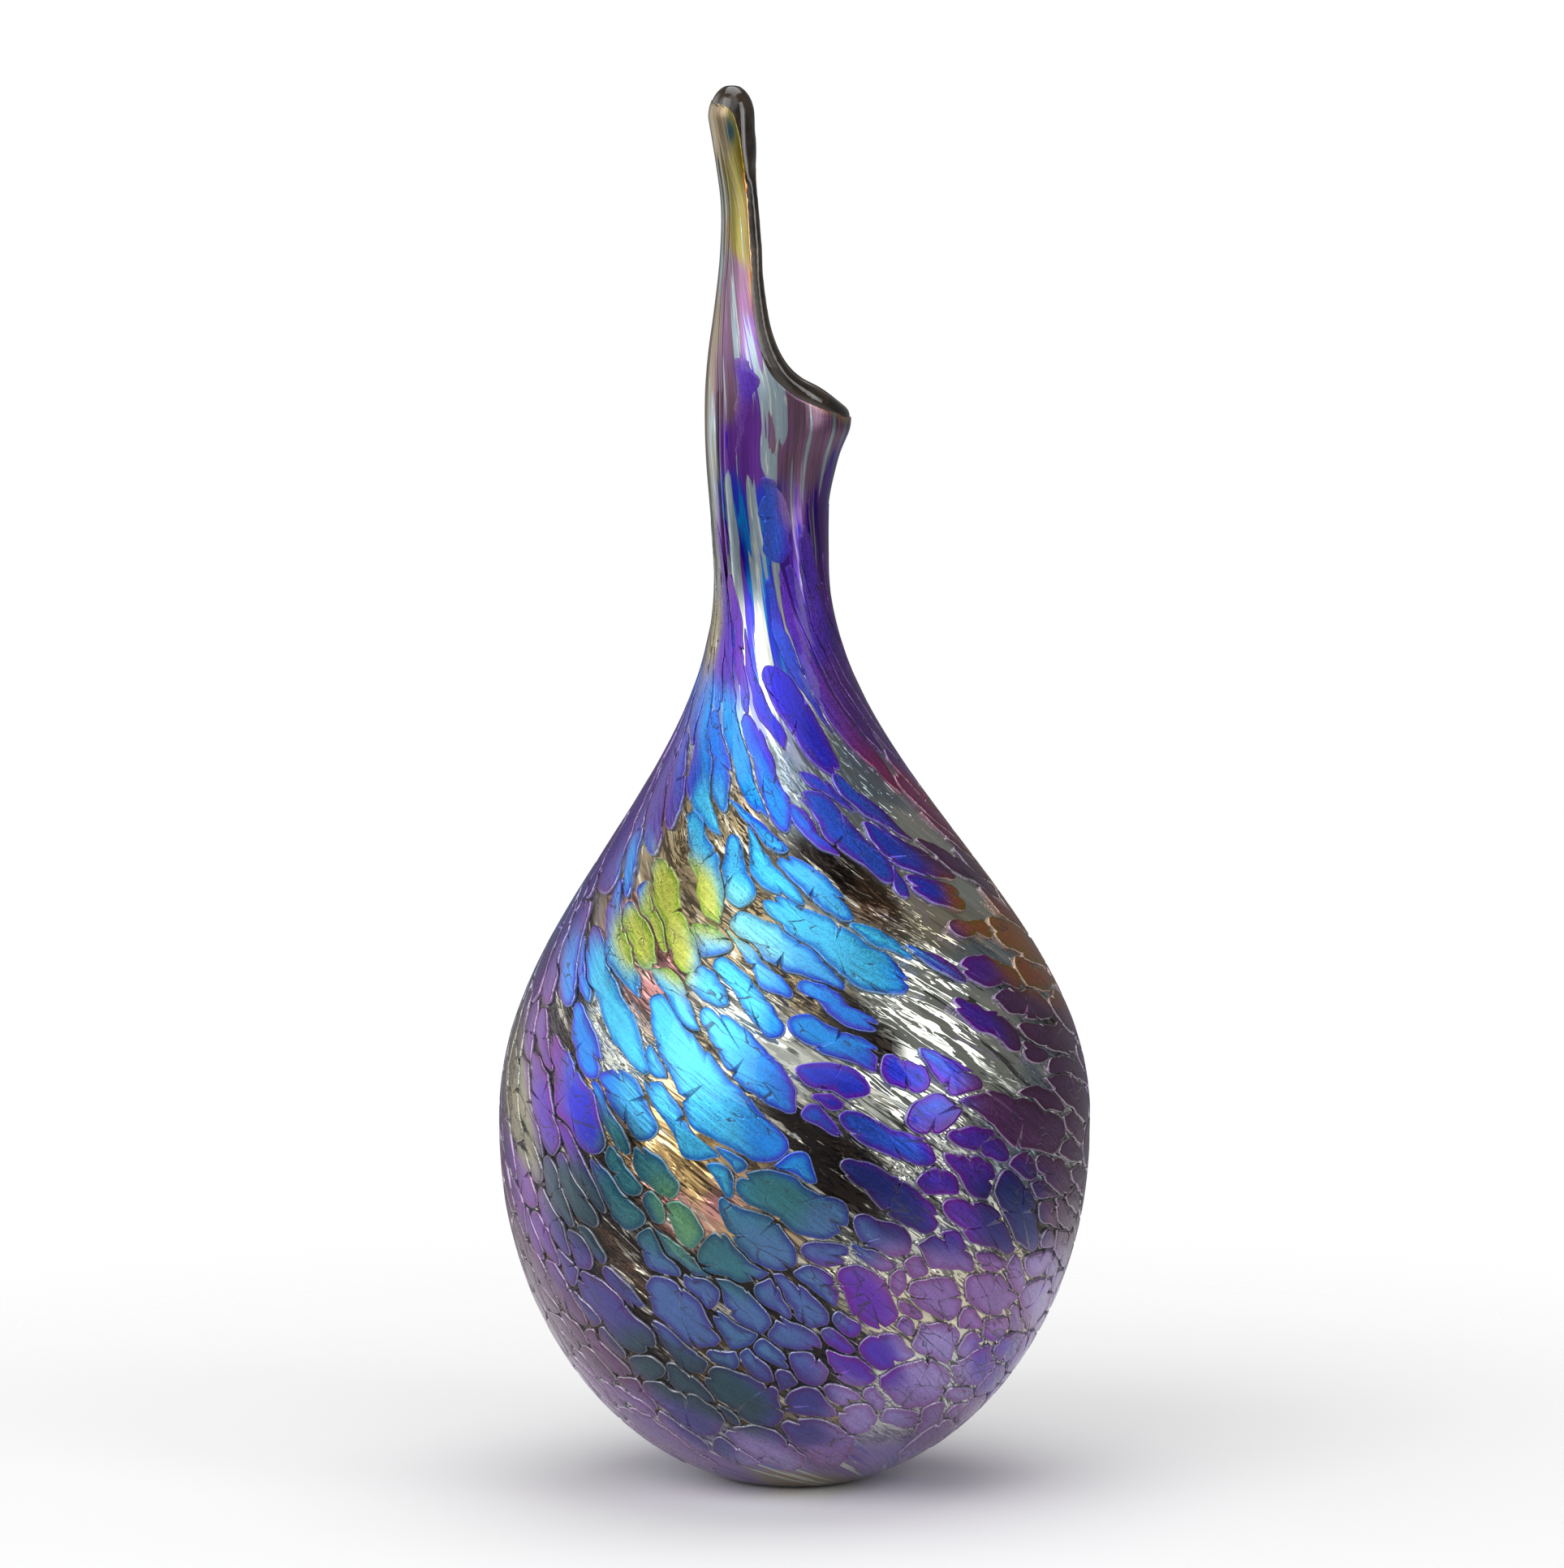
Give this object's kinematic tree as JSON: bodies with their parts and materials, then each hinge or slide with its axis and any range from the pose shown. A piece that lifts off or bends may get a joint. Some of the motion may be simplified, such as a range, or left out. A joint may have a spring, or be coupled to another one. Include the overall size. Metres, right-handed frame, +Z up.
{
  "type": "vase",
  "caption": "Teardrop art glass vase with a long leaning neck, an oblique pulled mouth and spire, and iridescent colour chips on a silver lustre casing.",
  "frame": {"origin": "centre of the ground flat base, on the floor", "axes": "+Z up the vase, +X from the spire towards the low lip, -Y the front"},
  "size_m": [0.1666, 0.168, 0.398],
  "materials": {
    "dark_glass": "gloss, fire-polished",
    "lustre_glass": "mirror-like silver and gold lustre, softly rippled",
    "amber_glass": "satin metallic iridescence under a thin gloss",
    "cobalt_glass": "satin metallic iridescence under a thin gloss",
    "cyan_glass": "satin metallic iridescence under a thin gloss",
    "lilac_glass": "satin metallic iridescence under a thin gloss",
    "lime_glass": "satin metallic iridescence under a thin gloss",
    "mauve_glass": "satin metallic iridescence under a thin gloss",
    "navy_glass": "satin metallic iridescence under a thin gloss",
    "sky_glass": "satin metallic iridescence under a thin gloss",
    "slate_glass": "satin metallic iridescence under a thin gloss",
    "teal_glass": "satin metallic iridescence under a thin gloss",
    "violet_glass": "satin metallic iridescence under a thin gloss"
  },
  "bodies": {
    "root": {"amber_chip_01": "amber_glass", "amber_chip_02": "amber_glass", "amber_chip_03": "amber_glass", "cobalt_chip_01": "cobalt_glass", "cobalt_chip_02": "cobalt_glass", "cobalt_chip_03": "cobalt_glass", "cobalt_chip_04": "cobalt_glass", "cobalt_chip_05": "cobalt_glass", "cobalt_chip_06": "cobalt_glass", "cobalt_chip_07": "cobalt_glass", "cobalt_chip_08": "cobalt_glass", "cobalt_chip_09": "cobalt_glass", "cyan_chip_01": "cyan_glass", "cyan_chip_02": "cyan_glass", "cyan_chip_03": "cyan_glass", "cyan_chip_04": "cyan_glass", "cyan_chip_05": "cyan_glass", "cyan_chip_06": "cyan_glass", "cyan_chip_07": "cyan_glass", "dark_core": "dark_glass", "lilac_chip_01": "lilac_glass", "lilac_chip_02": "lilac_glass", "lilac_chip_03": "lilac_glass", "lime_chip_01": "lime_glass", "lime_chip_02": "lime_glass", "lime_chip_03": "lime_glass", "lime_chip_04": "lime_glass", "lustre_casing": "lustre_glass", "mauve_chip_01": "mauve_glass", "mauve_chip_02": "mauve_glass", "navy_chip_01": "navy_glass", "navy_chip_02": "navy_glass", "navy_chip_03": "navy_glass", "rim_bead": "dark_glass", "sky_chip_01": "sky_glass", "sky_chip_02": "sky_glass", "sky_chip_03": "sky_glass", "sky_chip_04": "sky_glass", "sky_chip_05": "sky_glass", "sky_chip_06": "sky_glass", "sky_chip_07": "sky_glass", "sky_chip_08": "sky_glass", "sky_chip_09": "sky_glass", "slate_chip_01": "slate_glass", "slate_chip_02": "slate_glass", "slate_chip_03": "slate_glass", "teal_chip_01": "teal_glass", "teal_chip_02": "teal_glass", "teal_chip_03": "teal_glass", "violet_chip_01": "violet_glass", "violet_chip_02": "violet_glass", "violet_chip_03": "violet_glass", "violet_chip_04": "violet_glass", "violet_chip_05": "violet_glass", "violet_chip_06": "violet_glass", "violet_chip_07": "violet_glass", "violet_chip_08": "violet_glass"}
  },
  "joints": []
}
